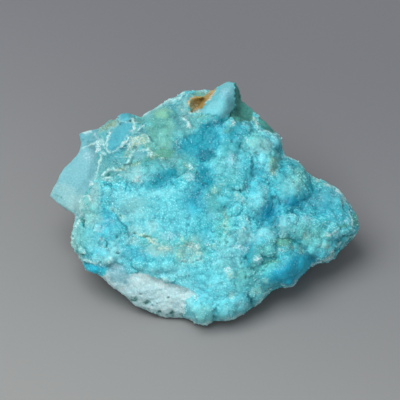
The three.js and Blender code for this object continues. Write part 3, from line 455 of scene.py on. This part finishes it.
# Small deep pits in the crust: [u, v, half length, half width, depth]
pits = [
    (-28.3, -6.3, 0.25, 0.6, 0.7), (-25.3, -10.4, 0.32, 0.75, 1.1), (-22.5, -8.6, 0.35, 0.4, 0.6),
    (-22.1, -12.7, 0.5, 0.22, 0.6), (-18.1, -7.7, 0.3, 0.35, 0.5), (-15, -8.6, 0.9, 0.28, 0.7),
    (-21.6, -3.2, 0.35, 0.3, 0.4), (-31.1, -12.9, 0.5, 0.28, 0.5), (-32.7, -12.6, 0.25, 0.25, 0.4),
    (-33.8, -8.3, 0.25, 0.25, 0.4), (-16.6, -23.1, 0.35, 0.28, 0.6), (-9.6, -23.9, 0.35, 0.3, 0.6),
    (-13.3, -26.1, 0.25, 0.25, 0.5), (-12.4, -25.8, 0.25, 0.2, 0.4), (-11.6, -27.9, 0.5, 0.3, 0.6),
    (-18.2, -24.9, 0.7, 0.35, 0.4), (-15, -25.8, 0.5, 0.35, 0.4), (-8.6, -28.2, 0.6, 0.4, 0.6),
    (5.1, -5.9, 0.35, 0.25, 0.5), (5.5, -10, 0.3, 0.25, 0.4), (-22, 20.4, 0.4, 0.25, 0.5),
    (-18.9, 21.2, 0.3, 0.25, 0.5), (-31.2, -5, 0.4, 0.8, 0.6), (-24.6, 7.2, 0.5, 0.3, 0.3),
    (9.2, -15.4, 0.3, 0.25, 0.5), (10.4, -18.6, 0.3, 0.3, 0.5), (-2.1, 8, 0.3, 0.3, 0.5),
    (8.8, 3.1, 0.4, 0.25, 0.4),
]


def regionMask(name, u, v, ragged):
    edge, ovals = regions[name]
    depths = [depthInBorder(border, u, v) for border in borders.get(name, [])]
    depths += [depthInOval(oval, u, v) for oval in ovals]
    return smoothStep(np.max(depths, axis=0) + (0.15 + 0.3 * edge) * ragged, -0.5 * edge, 0.5 * edge)


# The crust: what a user would change of its shape, in mm
crust = {
    "voxel": 0.3,
    "evenRounds": 8,           # passes that take the facets off the solid
    "smoothRounds": 40,        # more of them where the crust is smooth
    "broadRounds": (80, 160),  # passes down to the broad form, and on to the broadest
    "flatBelow": 0.2,          # height of the underside that stays flat
    "wander": 0.5,             # how far borders and lumps stray from where they are drawn
    "crease": 0.2,             # how much deeper the creases between its lobes get
    "soften": 0.5,             # how much lower its lobes lie on the face
    "settle": 0.3,             # how much lower still in the region of that name
    "knobRise": 0.34,          # as a share of a knob's radius, or of the next number where that is less
    "knobMost": 1.7,
    "lumps": [(2.4, 0.21), (1.4, 0.165), (0.8, 0.15)],  # spacing, and height as a share of it
    "lap": {"towards": -58, "share": 0.5},  # where and how far lumps reach round the face's edge
    "crustDepth": 3.2,  # of the blue layer where it shows in section at the edges
    "grit": {"rock": 1.1, "section": 0.3, "chalk": 0.22, "slope": 0.35},  # height of the broken grain
    "most": 190000,  # triangles
    "seed": 41,
}


def addThing(name, data):
    thing = bpy.data.objects.new(name, data)
    bpy.context.scene.collection.objects.link(thing)
    return thing


# The mesh of a thing with its modifiers applied
def finalMesh(thing):
    bpy.context.view_layer.update()
    return bpy.data.meshes.new_from_object(thing.evaluated_get(bpy.context.evaluated_depsgraph_get()))


def remeshSolid(node):
    copy = addThing("crustSource", node.data.copy())
    remesh = copy.modifiers.new("remesh", "REMESH")
    remesh.mode = "VOXEL"
    remesh.voxel_size = crust["voxel"] * mm
    mesh = finalMesh(copy)
    bpy.data.objects.remove(copy)
    return mesh


def shapeCrust(points, quads):
    rng = np.random.default_rng(crust["seed"])
    edges = meshEdges(quads)
    onFloor = points[:, 2] < crust["flatBelow"]
    points = relax(points, edges, [0.5, -0.52] * crust["evenRounds"])
    masks = {}

    # the solid's own lobes: deeper creases, and a mask of what lies high and low, which the colour uses for
    # painted shade in the low places
    normals = pointNormals(points, quads)
    rounds, moreRounds = crust["broadRounds"]
    broad = relax(points, edges, [0.6] * rounds)
    broader = relax(broad, edges, [0.6] * moreRounds)
    height = np.einsum("ij,ij->i", points - broad, normals)
    masks["hollow"] = np.clip(0.5 + height / 1.6, 0, 1)
    wider = relax(normals, edges, [0.6] * 16)
    outward = (wider @ faceAxes.T)[:, 2]

    u, v, _ = toFace(points).T
    ragged = noiseAt(points, 0.8, 6.6, 3) + 0.5 * noiseAt(points, 3.4, 2.2)
    bendU, bendV = (crust["wander"] * noiseAt(points, 1.6, shift) for shift in (3.1, 9.7))
    u, v = u + bendU, v + bendV
    lap = np.maximum(0, np.cos(np.arctan2(v, u) - math.radians(crust["lap"]["towards"])))
    lap *= crust["lap"]["share"]
    front = smoothStep(outward + lap + 0.12 * noiseAt(points, 2.2, 5.5), -0.3, -0.02)
    for name in regions:
        masks[name] = regionMask(name, u, v, ragged) * front
    smooth = np.max([masks[name] for name in ("plate", "ledge", "horn", "oval", "slate", "slip")], axis=0)
    smooth = np.maximum(smooth, 0.25 * masks["swell"])
    broken = np.max([masks[name] for name in ("chalk", "rust", "slope")], axis=0)
    even = relax(points, edges, [0.5, -0.51] * crust["smoothRounds"])
    points = points + (even - points) * np.maximum(smooth, 0.5 * masks["slope"])[:, None]
    for name, line in lines.items():
        away = np.min([distanceTo(path, u, v) for path in line["paths"]], axis=0)
        masks[name] = np.exp(-(away / line["width"]) ** 2) * np.clip(line["whole"] + ragged, 0, 1) * front
    (ringU, ringV), (halfLength, halfWidth) = brokenRing["at"], brokenRing["half"]
    fromRing = np.hypot((u - ringU) / halfLength, (v - ringV) / halfWidth) - 1
    masks["ring"] = np.exp(-(fromRing / brokenRing["width"]) ** 2) * np.clip(0.8 + ragged, 0, 1) * front
    points = points + normals * (np.minimum(height, 0) * crust["crease"] * (1 - smooth) * front)[:, None]
    sink = ((broader - points) @ faceAxes[2]) * smoothStep(outward, 0.25, 0.7) * (1 - smooth) * (1 - broken)
    points = points + np.outer(sink * (crust["soften"] + crust["settle"] * masks["settle"]), faceAxes[2])

    # distance behind the face's edge, which the blue layer and then bare rock follow
    shown = np.flatnonzero(front > 0.6)
    tree = spotTree(points[shown], shown)
    behind = np.array([tree.find(spot)[2] if f < 0.6 else 0.0 for spot, f in zip(points, front)])
    behind = behind + 1.3 * noiseAt(points, 5, 1.2)
    masks["rock"] = smoothStep(behind, 0.6 * crust["crustDepth"], 1.5 * crust["crustDepth"])
    masks["section"] = (1 - front) * (1 - masks["rock"])

    # knobs where they are known, then lumps on lumps over the crust, in drifts
    lumpy = front * (1 - smooth) * (1 - broken)
    spots = np.flatnonzero(lumpy > 0.01)
    knobTree = spotTree([(u[spot], v[spot], 0) for spot in spots], spots)
    bent = points + np.outer(bendU, faceAxes[0]) + np.outer(bendV, faceAxes[1])
    knobSeeds = [bent[knobTree.find((ku, kv, 0))[1]] for group in knobs.values() for ku, kv in group]
    knobRadii = np.repeat(list(knobs), [len(group) for group in knobs.values()])
    knobCrowns = crust["knobRise"] * np.minimum(knobRadii, crust["knobMost"])
    rises = lumpHeights(bent, spots, knobSeeds, knobRadii, knobCrowns)
    rises = relax(rises, edges, [0.5, 0.5])
    onKnob = smoothStep(rises, 0.05, 0.3)
    points = points + relax(pointNormals(points, quads), edges, [0.6] * 4) * (rises * lumpy)[:, None]
    masks["rise"] = 0.42 + 0.32 * rises * lumpy
    for spacing, share in crust["lumps"]:
        outwards = relax(pointNormals(points, quads), edges, [0.6] * 4)
        seeds = scatter(points, spots, spacing, rng)
        radii = rng.uniform(0.6, 0.95, len(seeds)) * spacing
        heights = lumpHeights(bent, spots, bent[seeds], radii, radii) / spacing - 0.5
        drift = np.clip(0.8 + 0.8 * noiseAt(points, 5 + spacing, spacing), 0.2, 1.4)
        drift *= 1 - 0.6 * masks["calm"]
        if spacing > 2:
            drift *= 1 - 0.8 * onKnob
        lift = heights * drift * lumpy
        points = points + outwards * (lift * share * spacing)[:, None]
        masks["rise"] += lift * (0.25 if spacing > 2 else 0.4)
    masks["rise"] = np.clip(masks["rise"], 0, 1)
    for name, line in lines.items():
        points = points + normals * (masks[name] * line["rise"] * (1 - smooth))[:, None]

    # broken rock behind and below, chalk and the dark slopes
    normals = pointNormals(points, quads)
    grit = noiseAt(points, 1.5, 2.4, 3)
    ledges = 1 - 2 * np.abs(noiseAt(points, 5.5, 7.7, 3))
    high = crust["grit"]
    rough = masks["rock"] * (0.55 * ledges + 0.45 * grit) * high["rock"]
    rough += masks["section"] * grit * high["section"]
    rough += masks["chalk"] * (1 - masks["slip"]) * noiseAt(points, 0.9, 4.4, 3) * high["chalk"]
    rough += (masks["slope"] + masks["rust"]) * grit * high["slope"]
    points = points + normals * np.where(onFloor, 0, rough)[:, None]

    masks["pit"] = np.zeros(len(points))
    for pu, pv, halfLength, halfWidth, depth in pits:
        hole = np.exp(-((u - pu) / halfLength) ** 2 - ((v - pv) / halfWidth) ** 2) * front
        points = points - normals * (hole * depth)[:, None]
        masks["pit"] = np.maximum(masks["pit"], hole)
    points[:, 2] = np.where(onFloor, 0, np.maximum(points[:, 2], 0))

    # where single lumps stand out from what is round them
    away = points - relax(points, edges, [0.6] * 10)
    masks["crown"] = np.clip(0.5 + np.einsum("ij,ij->i", away, pointNormals(points, quads)) / 0.16, 0, 1)
    masks["front"] = front
    masks["lumpy"] = lumpy
    return points, masks


def meshFromArrays(name, points, faces, masks):
    mesh = bpy.data.meshes.new(name)
    mesh.from_pydata((points * mm).tolist(), [], faces)
    for maskName, values in masks.items():
        layer = mesh.attributes.new(maskName, "FLOAT", "POINT")
        layer.data.foreach_set("value", values.astype(np.float32))
    return addThing(name, mesh)


# Fewer triangles behind and below, where the shape is plainer
def thinBack(piece, masks):
    group = piece.vertex_groups.new(name="back")
    for level in range(1, 11):
        chosen = np.flatnonzero(np.round(10 * (1 - masks["front"])) == level)
        group.add(chosen.tolist(), level / 10, "REPLACE")
    thin = piece.modifiers.new("thin", "DECIMATE")
    thin.ratio = crust["most"] / (2 * len(piece.data.polygons))
    thin.vertex_group = "back"
    old = piece.data
    piece.data = finalMesh(piece)
    piece.modifiers.clear()
    piece.vertex_groups.clear()
    bpy.data.meshes.remove(old)
    for vertex in piece.data.vertices:
        vertex.co.z = max(vertex.co.z, 0)


def makeCrust(node):
    points, quads = readArrays(remeshSolid(node))
    print("crust: remeshed solid,", len(quads), "quads")
    points, masks = shapeCrust(points, quads)
    print("crust: shaped")
    piece = meshFromArrays("crust", points, quads.tolist(), masks)
    thinBack(piece, masks)
    piece.data.name = "crust"
    piece.data.polygons.foreach_set("use_smooth", [True] * len(piece.data.polygons))
    print("crust:", sum(len(polygon.vertices) - 2 for polygon in piece.data.polygons), "triangles")
    return piece, points, quads, masks


# Node helpers
def linear(code):
    channels = [int(code[i:i + 2], 16) / 255 for i in (0, 2, 4)]
    return tuple(c / 12.92 if c <= 0.04045 else ((c + 0.055) / 1.055) ** 2.4 for c in channels) + (1.0,)


def place(tree, kind, **settings):
    node = tree.nodes.new(kind)
    for name, value in settings.items():
        setattr(node, name, value)
    return node


# Sets a socket to a value, or joins it to another node's output
def feed(tree, socket, value):
    if isinstance(value, bpy.types.NodeSocket):
        tree.links.new(value, socket)
    else:
        socket.default_value = value


def mixColour(tree, share, a, b, way="MIX"):
    node = place(tree, "ShaderNodeMix", data_type="RGBA", blend_type=way)
    for index, value in ((0, share), (6, a), (7, b)):
        feed(tree, node.inputs[index], value)
    return node.outputs[2]


def sums(tree, operation, *values):
    node = place(tree, "ShaderNodeMath", operation=operation)
    for socket, value in zip(node.inputs, values):
        feed(tree, socket, value)
    return node.outputs[0]


def spread(tree, value, low, high, toLow=0.0, toHigh=1.0):
    node = place(tree, "ShaderNodeMapRange", interpolation_type="SMOOTHSTEP")
    names = ("Value", "From Min", "From Max", "To Min", "To Max")
    for name, number in zip(names, (value, low, high, toLow, toHigh)):
        feed(tree, node.inputs[name], number)
    return node.outputs["Result"]


def attribute(tree, name):
    return place(tree, "ShaderNodeAttribute", attribute_name=name).outputs["Fac"]


def newMaterial(name):
    material = bpy.data.materials.new(name)
    material.use_nodes = True
    return material, material.node_tree, material.node_tree.nodes["Principled BSDF"]


# Starts a node group with the numbers and colours that it takes, by their labels
def newGroup(name, **inputs):
    group = bpy.data.node_groups.new(name, "ShaderNodeTree")
    for label, value in inputs.items():
        kind = "NodeSocketColor" if isinstance(value, tuple) else "NodeSocketFloat"
        group.interface.new_socket(label, in_out="INPUT", socket_type=kind).default_value = value
    return group, place(group, "NodeGroupInput").outputs


# Ends it with the values that it gives, all of one kind
def endGroup(group, kind, **values):
    for label in values:
        group.interface.new_socket(label, in_out="OUTPUT", socket_type=kind)
    end = place(group, "NodeGroupOutput")
    for label, value in values.items():
        feed(group, end.inputs[label], value)
    return group


def useGroup(tree, group, **values):
    node = place(tree, "ShaderNodeGroup", node_tree=group)
    for name, value in values.items():
        feed(tree, node.inputs[name], value)
    return node


# Fine crystal grain: a height for bump, pale tips, sparse specks, a slow mottle, and a tone for each crystal
def grainGroup():
    group, given = newGroup("crystalGrain", Size=1.0, Jitter=0.5)
    spot = place(group, "ShaderNodeTexCoord").outputs["Object"]
    scale = sums(group, "DIVIDE", 1 / mm, given["Size"])
    cells = place(group, "ShaderNodeTexVoronoi", feature="F1")
    fine = place(group, "ShaderNodeTexNoise")
    slow = place(group, "ShaderNodeTexNoise")
    for node, share, detail in ((cells, 1, 0), (fine, 1.4, 4), (slow, 0.28, 3)):
        feed(group, node.inputs["Vector"], spot)
        feed(group, node.inputs["Scale"], sums(group, "MULTIPLY", scale, share))
        node.inputs["Detail"].default_value = detail
    crown = sums(group, "SUBTRACT", 1.0, cells.outputs["Distance"])
    height = sums(group, "ADD", crown, sums(group, "MULTIPLY", fine.outputs["Fac"], given["Jitter"]))
    point = sums(group, "MULTIPLY_ADD", fine.outputs["Fac"], 0.9, crown)
    drift = spread(group, slow.outputs["Fac"], 0.44, 0.66)
    facets = place(group, "ShaderNodeSeparateColor")
    feed(group, facets.inputs["Color"], cells.outputs["Color"])
    return endGroup(
        group, "NodeSocketFloat", Height=height, Tips=spread(group, height, 0.75, 1.15),
        Specks=sums(group, "MULTIPLY", spread(group, point, 1.2, 1.42), drift),
        Mottle=slow.outputs["Fac"], Facets=facets.outputs["Red"],
    )


# Blue crust colour by how far a place stands out: deep in the creases, partly the crust's own deeper blue and
# partly painted shade, pale on the crowns
def tintGroup():
    black, grey, white = ((tone, tone, tone, 1) for tone in (0, 0.5, 1))
    group, given = newGroup("crustTint", Level=0.5, Deep=black, Middle=grey, Pale=white)
    lower = mixColour(group, spread(group, given["Level"], 0.1, 0.5), given["Deep"], given["Middle"])
    colour = mixColour(group, spread(group, given["Level"], 0.45, 0.95), lower, given["Pale"])
    return endGroup(group, "NodeSocketColor", Color=colour)


grain = grainGroup()
tint = tintGroup()


def tinted(tree, level, codes):
    deep, middle, pale = (linear(code) for code in codes)
    return useGroup(tree, tint, Level=level, Deep=deep, Middle=middle, Pale=pale).outputs["Color"]


# The crust's finish. Each layer covers what lies before it where its mask says, in two colours that a mottle
# mixes, by the share given.
crustFinish = {
    "tones": ("2a9dae", "4cc0cc", "86dce0"),  # deep in the creases, between, pale on the crowns; deep partly as the crust's own deeper blue, partly as painted shade in the creases
    "shade": (0.55, ("90b6c0", "e2ecee", "ffffff")),  # painted shade: what the creases take off every layer
    "level": -0.085,  # where a place starts from deep to pale, and what each of these adds; hollow darkens the low places as painted shade
    "lifts": {"rise": 0.5, "crown": 0.22, "hollow": 0.12, "tips": 0.3, "mottle": 0.25},
    "facets": (0.34, 0.16),  # how much single crystals differ, and where the crust is calm
    # pale specks on the lumps: partly white crystal tips, partly painted glints
    "specks": (0.6, "d4f8f8"),
    "grainSize": 0.5,  # mm
    "mottleSize": 2.5,
    "jitter": 0.7,  # how uneven the grain is
    "roughness": (0.38, 0.62),
    "bump": (0.8, 0.1),  # strength, and depth in mm
    "crags": 5,          # how much deeper it is on bare rock
    "even": {
        "Specular IOR Level": 0.21, "IOR": 1.5,
        "Sheen Weight": 0.04, "Sheen Roughness": 0.4, "Sheen Tint": (0.8, 0.96, 1, 1),
        "Subsurface Weight": 0.6, "Subsurface Radius": (0.5, 1.0, 1.1), "Subsurface Scale": 2.0 * mm,
    },
    "sugary": ("cream", "white", "ring", "lilac", "rose", "moss"),  # layers that show as loose grains
    "rock": {
        "ragged": 1.6,            # how much the mottle frays the line where rock starts
        "seam": (0.6, "b4d2bc"),  # pale green along that line
        "grains": (0.5, "a79f88"),
        "joints": (0.6, "6b4a2e"),  # rusty
        "specks": "d3d0bd",
    },
    "layers": [
        ("azure", 0.65, "2a9eb8", "42b0c6"),
        ("ice", 0.55, "84dce6", "98e4ea"),
        ("mint", 0.5, "6ac8c0", "82d2c6"),
        ("sea", 0.5, "3f9aa2", "54aeb0"),
        ("haze", 0.6, "52929a", "6aa6a8"),
        ("pearl", 0.5, "96c6c4", "aad0cc"),
        ("cyan", 0.6, "42cee2", "5edae6"),
        # painted light over the lower half of the face
        ("paintedLift", 0.25, "86e8f4", "98eef4"),
        ("green", 0.62, "68ae9e", "7cbaa4"),
        ("basin", 0.85, "008ea0", "0e9cae"),
        ("well", 0.85, "006e86", "0c7e92"),
        ("lime", 0.5, "8fc49c", "a8cfa0"),
        ("fern", 0.7, "3f9078", "5aa58a"),
        ("olive", 0.7, "6f9878", "8a9f80"),
        ("section", 0.7, "42a6b4", "7cc0c2"),
        ("plate", 0.95, "72b2bc", "82bcc4"),
        ("bloom", 0.45, "a2ccca", "b4d4ce"),
        ("ledge", 0.9, "4696aa", "72b2bc"),
        ("horn", 0.95, "70c4ce", "84ced6"),
        ("oval", 0.9, "4aa8b8", "5ab2c0"),
        ("slate", 0.8, "6fb0b8", "84bcc0"),
        ("swell", 0.85, "06aed2", "22beda"),
        ("chalk", 0.95, "c2e2e5", "d4ebeb"),
        ("slip", 0.8, "6caab8", "7cb6c0"),
        ("slope", 0.9, "31847a", "4e9688"),
        ("rust", 1.0, "a8884c", "ccaa70"),
        # painted light in the shaded pocket
        ("litPocket", 0.9, "e0ac62", "f0c890"),
        ("ring", 0.6, "a4c8b8", "c4d2c4"),
        ("lilac", 0.5, "9ccbd8", "b0d2dc"),
        ("rose", 0.5, "b8cec6", "ccd6ca"),
        ("cream", 0.5, "a8d0bc", "c8dcc4"),
        ("vein", 0.7, "b9e0dd", "d4eeea"),
        ("white", 0.55, "c8ecec", "e4f6f4"),
        ("rock", 1.0, "5c5243", "8a8b78"),
        ("crack", 0.6, "1f7f8a", "2f8e96"),
        ("moss", 0.75, "2f7c72", "4a9488"),
        ("pit", 0.8, "1f6f6c", "2b857e"),
    ],
}
# Tiny blades that stand on the crust of the show face
druse = {
    "count": 2600,
    "width": (0.18, 0.42),  # mm
    "length": (0.26, 0.5),  # mm, half of it sunk in the crust
    "lean": 0.22,
    "paler": (0.2, "c8f0f4"),  # than the crust they stand on
    "grainSize": 1.2,
    "jitter": 0.8,
    "roughness": (0.3, 0.45),
    "ior": 1.6,
    "seed": 7,
}


# Bare rock: its own colour with grains, joints and specks, and a pale seam where it starts
def rockColour(tree, fine, coarse, colour, cover, own):
    rock = crustFinish["rock"]
    reach = sums(tree, "MULTIPLY_ADD", fine.outputs["Mottle"], rock["ragged"], cover)
    share, seam = rock["seam"]
    along = sums(tree, "MULTIPLY", spread(tree, reach, 0.92, 1.12, 0, share), spread(tree, cover, 0, 0.1))
    colour = mixColour(tree, along, colour, linear(seam))
    share, grains = rock["grains"]
    own = mixColour(tree, sums(tree, "MULTIPLY", coarse.outputs["Tips"], share), own, linear(grains))
    share, joints = rock["joints"]
    own = mixColour(tree, spread(tree, fine.outputs["Mottle"], 0.5, 0.62, 0, share), own, linear(joints))
    own = mixColour(tree, fine.outputs["Specks"], own, linear(rock["specks"]))
    return mixColour(tree, spread(tree, reach, 1.15, 1.4), colour, own)


# The crust's colour from the masks that its mesh carries
def crustColour(tree, fine, coarse):
    finish = crustFinish
    lumpy = attribute(tree, "lumpy")
    crown, facets = (
        sums(tree, "MULTIPLY", sums(tree, "SUBTRACT", value, 0.5), lumpy)
        for value in (attribute(tree, "crown"), fine.outputs["Facets"])
    )
    level = finish["level"]
    lifts = {"rise": attribute(tree, "rise"), "crown": crown, "hollow": attribute(tree, "hollow"),
             "tips": fine.outputs["Tips"], "mottle": coarse.outputs["Mottle"]}
    for name, weight in finish["lifts"].items():
        level = sums(tree, "MULTIPLY_ADD", lifts[name], weight, level)
    amount = spread(tree, attribute(tree, "calm"), 0, 1, *finish["facets"])
    level = sums(tree, "MULTIPLY_ADD", facets, amount, level)
    colour = tinted(tree, level, finish["tones"])
    mottle = spread(tree, coarse.outputs["Mottle"], 0.35, 0.65)
    sugar = spread(tree, fine.outputs["Height"], 0.6, 1.1, 0.25, 1.25)
    for maskName, share, first, second in finish["layers"]:
        own = mixColour(tree, mottle, linear(first), linear(second))
        cover = sums(tree, "MULTIPLY", attribute(tree, maskName), share)
        if maskName in finish["sugary"]:
            cover = sums(tree, "MULTIPLY", cover, sugar)
        if maskName == "rock":
            colour = rockColour(tree, fine, coarse, colour, cover, own)
        else:
            colour = mixColour(tree, cover, colour, own)
    share, shades = finish["shade"]
    colour = mixColour(tree, share, colour, tinted(tree, level, shades), "MULTIPLY")
    # pale specks, partly painted glints
    share, speck = finish["specks"]
    specks = sums(tree, "MULTIPLY", fine.outputs["Specks"], lumpy)
    return mixColour(tree, sums(tree, "MULTIPLY", specks, share), colour, linear(speck))


# A material's fine and coarse grain, with the roughness that follows the fine one
def grained(tree, shader, finish):
    fine = useGroup(tree, grain, Size=finish["grainSize"], Jitter=finish["jitter"])
    coarse = useGroup(tree, grain, Size=crustFinish["mottleSize"], Jitter=0.8)
    low, high = finish["roughness"]
    feed(tree, shader.inputs["Roughness"], spread(tree, fine.outputs["Height"], 0.3, 1.2, high, low))
    return fine, coarse


def crustMaterial():
    finish = crustFinish
    material, tree, shader = newMaterial("hemimorphiteCrust")
    fine, coarse = grained(tree, shader, finish)
    feed(tree, shader.inputs["Base Color"], crustColour(tree, fine, coarse))
    bump = place(tree, "ShaderNodeBump")
    strength, depth = finish["bump"]
    bump.inputs["Strength"].default_value = strength
    bump.inputs["Distance"].default_value = depth * mm
    crags = sums(tree, "MULTIPLY", coarse.outputs["Height"], attribute(tree, "rock"))
    height = sums(tree, "MULTIPLY_ADD", crags, finish["crags"], fine.outputs["Height"])
    feed(tree, bump.inputs["Height"], height)
    feed(tree, shader.inputs["Normal"], bump.outputs["Normal"])
    for name, value in finish["even"].items():
        shader.inputs[name].default_value = value
    return material


def makeDruse(points, quads, masks):
    rng = np.random.default_rng(druse["seed"])
    normals = pointNormals(points, quads)
    drift = np.clip(0.5 + 1.6 * noiseAt(points, 4.5, 8.8), 0.06, 1)
    bare = (1 - masks["pit"]) * (1 - 0.6 * masks["calm"]) * (1 - masks["basin"]) * (1 - masks["green"])
    weight = (masks["lumpy"] > 0.6) * (points[:, 2] > 0.7) * masks["rise"] ** 2 * drift * bare
    picked = rng.choice(len(points), druse["count"], replace=False, p=weight / weight.sum())
    up = normals[picked] + druse["lean"] * rng.normal(size=(len(picked), 3))
    up /= np.linalg.norm(up, axis=1, keepdims=True)
    side = np.cross(up, rng.normal(size=(len(picked), 3)))
    side /= np.linalg.norm(side, axis=1, keepdims=True)
    other = np.cross(up, side)
    width = rng.uniform(*druse["width"], len(picked))[:, None]
    length = rng.uniform(*druse["length"], len(picked))[:, None]
    # a flat blade: its foot, its shoulder and the two ends of its ridge
    blade = [(a, b, c) for c in (-0.5, 0.25) for a, b in ((-1, -0.6), (1, -0.6), (1, 0.6), (-1, 0.6))]
    blade += [(-0.55, 0, 0.5), (0.55, 0, 0.5)]
    corners = np.stack([
        points[picked] + side * (0.5 * a * width) + other * (0.5 * b * width) + up * (c * length)
        for a, b, c in blade
    ], axis=1).reshape(-1, 3)
    sides = [(3, 2, 1, 0), (0, 1, 5, 4), (1, 2, 6, 5), (2, 3, 7, 6), (3, 0, 4, 7), (4, 5, 9, 8), (6, 7, 8, 9)]
    ends = [(5, 6, 9), (7, 4, 8)]
    faces = [[i * len(blade) + j for j in loop] for i in range(len(picked)) for loop in sides + ends]
    own = {name: np.repeat(values[picked], len(blade)) for name, values in masks.items()}
    piece = meshFromArrays("druse", corners, faces, own)
    print("druse:", len(picked), "blades,", sum(len(loop) - 2 for loop in faces), "triangles")
    return piece


def druseMaterial():
    material, tree, shader = newMaterial("hemimorphiteDruse")
    share, pale = druse["paler"]
    colour = crustColour(tree, *grained(tree, shader, druse))
    feed(tree, shader.inputs["Base Color"], mixColour(tree, share, colour, linear(pale)))
    shader.inputs["IOR"].default_value = druse["ior"]
    return material


# The stage: a plain floor, darker at the back than at the front, a soft light from the upper left, weak ones
# from the front and from above, a fill
stage = {
    "floor": ("6d6f74", "8b8d8c"),  # at the back and at the front
    "fade": 0.11,                   # how far from the middle the floor still changes, in metres
    "aim": (0, 0, 0.015),           # what the lamps point at
    "lamps": [
        {"name": "softKey", "at": (-0.27, -0.13, 0.72), "size": 0.6, "power": 5.95},
        {"name": "softFront", "at": (0, -0.85, 0.5), "size": 0.6, "power": 1.8},
        {"name": "softTop", "at": (-0.2, 0.01, 1.1), "size": 1.2, "power": 1.5},
    ],
    "fill": 0.33,
    "fillTint": (0.97, 0.98, 1, 1),
}
# The camera looks squarely at the show face
view = {
    "distance": 1.0,  # metres
    "pixelsPerMm": 3.9,
    "frameSide": 400,           # pixels
    "centrePixel": (205, 203),  # of the face's centre, from the picture's upper left corner
}


def makeFloor():
    bpy.ops.mesh.primitive_plane_add(size=6)
    floor = bpy.context.object
    floor.name = "floor"
    material, tree, shader = newMaterial("paperFloor")
    spot = place(tree, "ShaderNodeSeparateXYZ")
    feed(tree, spot.inputs[0], place(tree, "ShaderNodeTexCoord").outputs["Object"])
    along = sums(tree, "MULTIPLY_ADD", spot.outputs["X"], 0.5, spot.outputs["Y"])
    back, front = (linear(code) for code in stage["floor"])
    shade = mixColour(tree, spread(tree, along, -stage["fade"], stage["fade"]), front, back)
    feed(tree, shader.inputs["Base Color"], shade)
    shader.inputs["Roughness"].default_value = 0.85
    floor.data.materials.append(material)


def turnTowards(thing, target):
    thing.rotation_mode = "QUATERNION"
    thing.rotation_quaternion = (target - thing.location).to_track_quat("-Z", "Y")


def makeLights():
    for lamp in stage["lamps"]:
        data = bpy.data.lights.new(lamp["name"], "AREA")
        data.size = lamp["size"]
        data.energy = lamp["power"]
        light = addThing(lamp["name"], data)
        light.location = lamp["at"]
        turnTowards(light, Vector(stage["aim"]))
    world = bpy.data.worlds.new("evenFill")
    world.use_nodes = True
    fill = world.node_tree.nodes["Background"].inputs
    fill["Color"].default_value = stage["fillTint"]
    fill["Strength"].default_value = stage["fill"]
    bpy.context.scene.world = world
    bpy.context.scene.view_settings.view_transform = "Standard"


def makeCamera():
    perMm = view["pixelsPerMm"]
    middle = view["frameSide"] / 2
    right, up, out = (Vector(axis) for axis in faceAxes)
    acrossMm = (middle - view["centrePixel"][0]) / perMm
    upMm = (view["centrePixel"][1] - middle) / perMm
    target = (Vector(face["centre"]) + right * acrossMm + up * upMm) * mm
    data = bpy.data.cameras.new("camera")
    data.lens = data.sensor_width * view["distance"] / (view["frameSide"] / perMm * mm)
    camera = addThing("camera", data)
    camera.location = target + out * view["distance"]
    turnTowards(camera, target)
    bpy.context.scene.camera = camera


makeCamera()
makeLights()
makeFloor()
crustPiece, crustPoints, crustQuads, crustMasks = makeCrust(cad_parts["hemimorphite"])
crustPiece.data.materials.append(crustMaterial())
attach(crustPiece, "root")
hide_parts("hemimorphite")
drusePiece = makeDruse(crustPoints, crustQuads, crustMasks)
drusePiece.data.materials.append(druseMaterial())
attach(drusePiece, "root")
